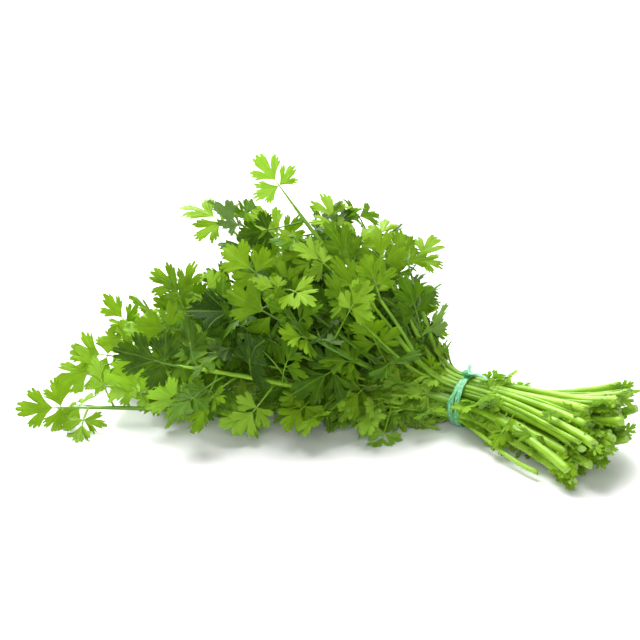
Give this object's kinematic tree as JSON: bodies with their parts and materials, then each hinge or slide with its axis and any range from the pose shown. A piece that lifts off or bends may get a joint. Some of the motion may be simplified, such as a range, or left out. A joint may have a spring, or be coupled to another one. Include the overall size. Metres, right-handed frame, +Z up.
{
  "type": "coriander bunch",
  "caption": "Tied bunch of fresh coriander lying on its side: a fan of leafy stems with divided leaves, a soft strip wound round them and fanned cut ends.",
  "frame": {"origin": "foot of the tie, where its underside rests on the surface", "axes": "+X along the bunch from the tie to the cut ends, -X into the foliage, +Z up from the surface, -Y the front"},
  "size_m": [0.3083, 0.2212, 0.1249],
  "materials": {
    "leaf": "satin leaf green, paler beneath, pale green stems",
    "strip": "thin mint green film, slightly glossy"
  },
  "bodies": {
    "root": {"sprig_01": "leaf", "sprig_02": "leaf", "sprig_03": "leaf", "sprig_04": "leaf", "sprig_05": "leaf", "sprig_06": "leaf", "sprig_07": "leaf", "sprig_08": "leaf", "sprig_09": "leaf", "sprig_10": "leaf", "sprig_11": "leaf", "sprig_12": "leaf", "sprig_13": "leaf", "sprig_14": "leaf", "sprig_15": "leaf", "sprig_16": "leaf", "sprig_17": "leaf", "sprig_18": "leaf", "sprig_19": "leaf", "sprig_20": "leaf", "sprig_21": "leaf", "sprig_22": "leaf", "sprig_23": "leaf", "sprig_24": "leaf", "sprig_25": "leaf", "sprig_26": "leaf", "sprig_27": "leaf", "sprig_28": "leaf", "sprig_29": "leaf", "sprig_30": "leaf", "sprig_31": "leaf", "sprig_32": "leaf", "sprig_33": "leaf", "sprig_34": "leaf", "sprig_35": "leaf", "sprig_36": "leaf", "sprig_37": "leaf", "sprig_38": "leaf", "sprig_39": "leaf", "sprig_40": "leaf", "sprig_41": "leaf", "tie": "strip"}
  },
  "joints": []
}
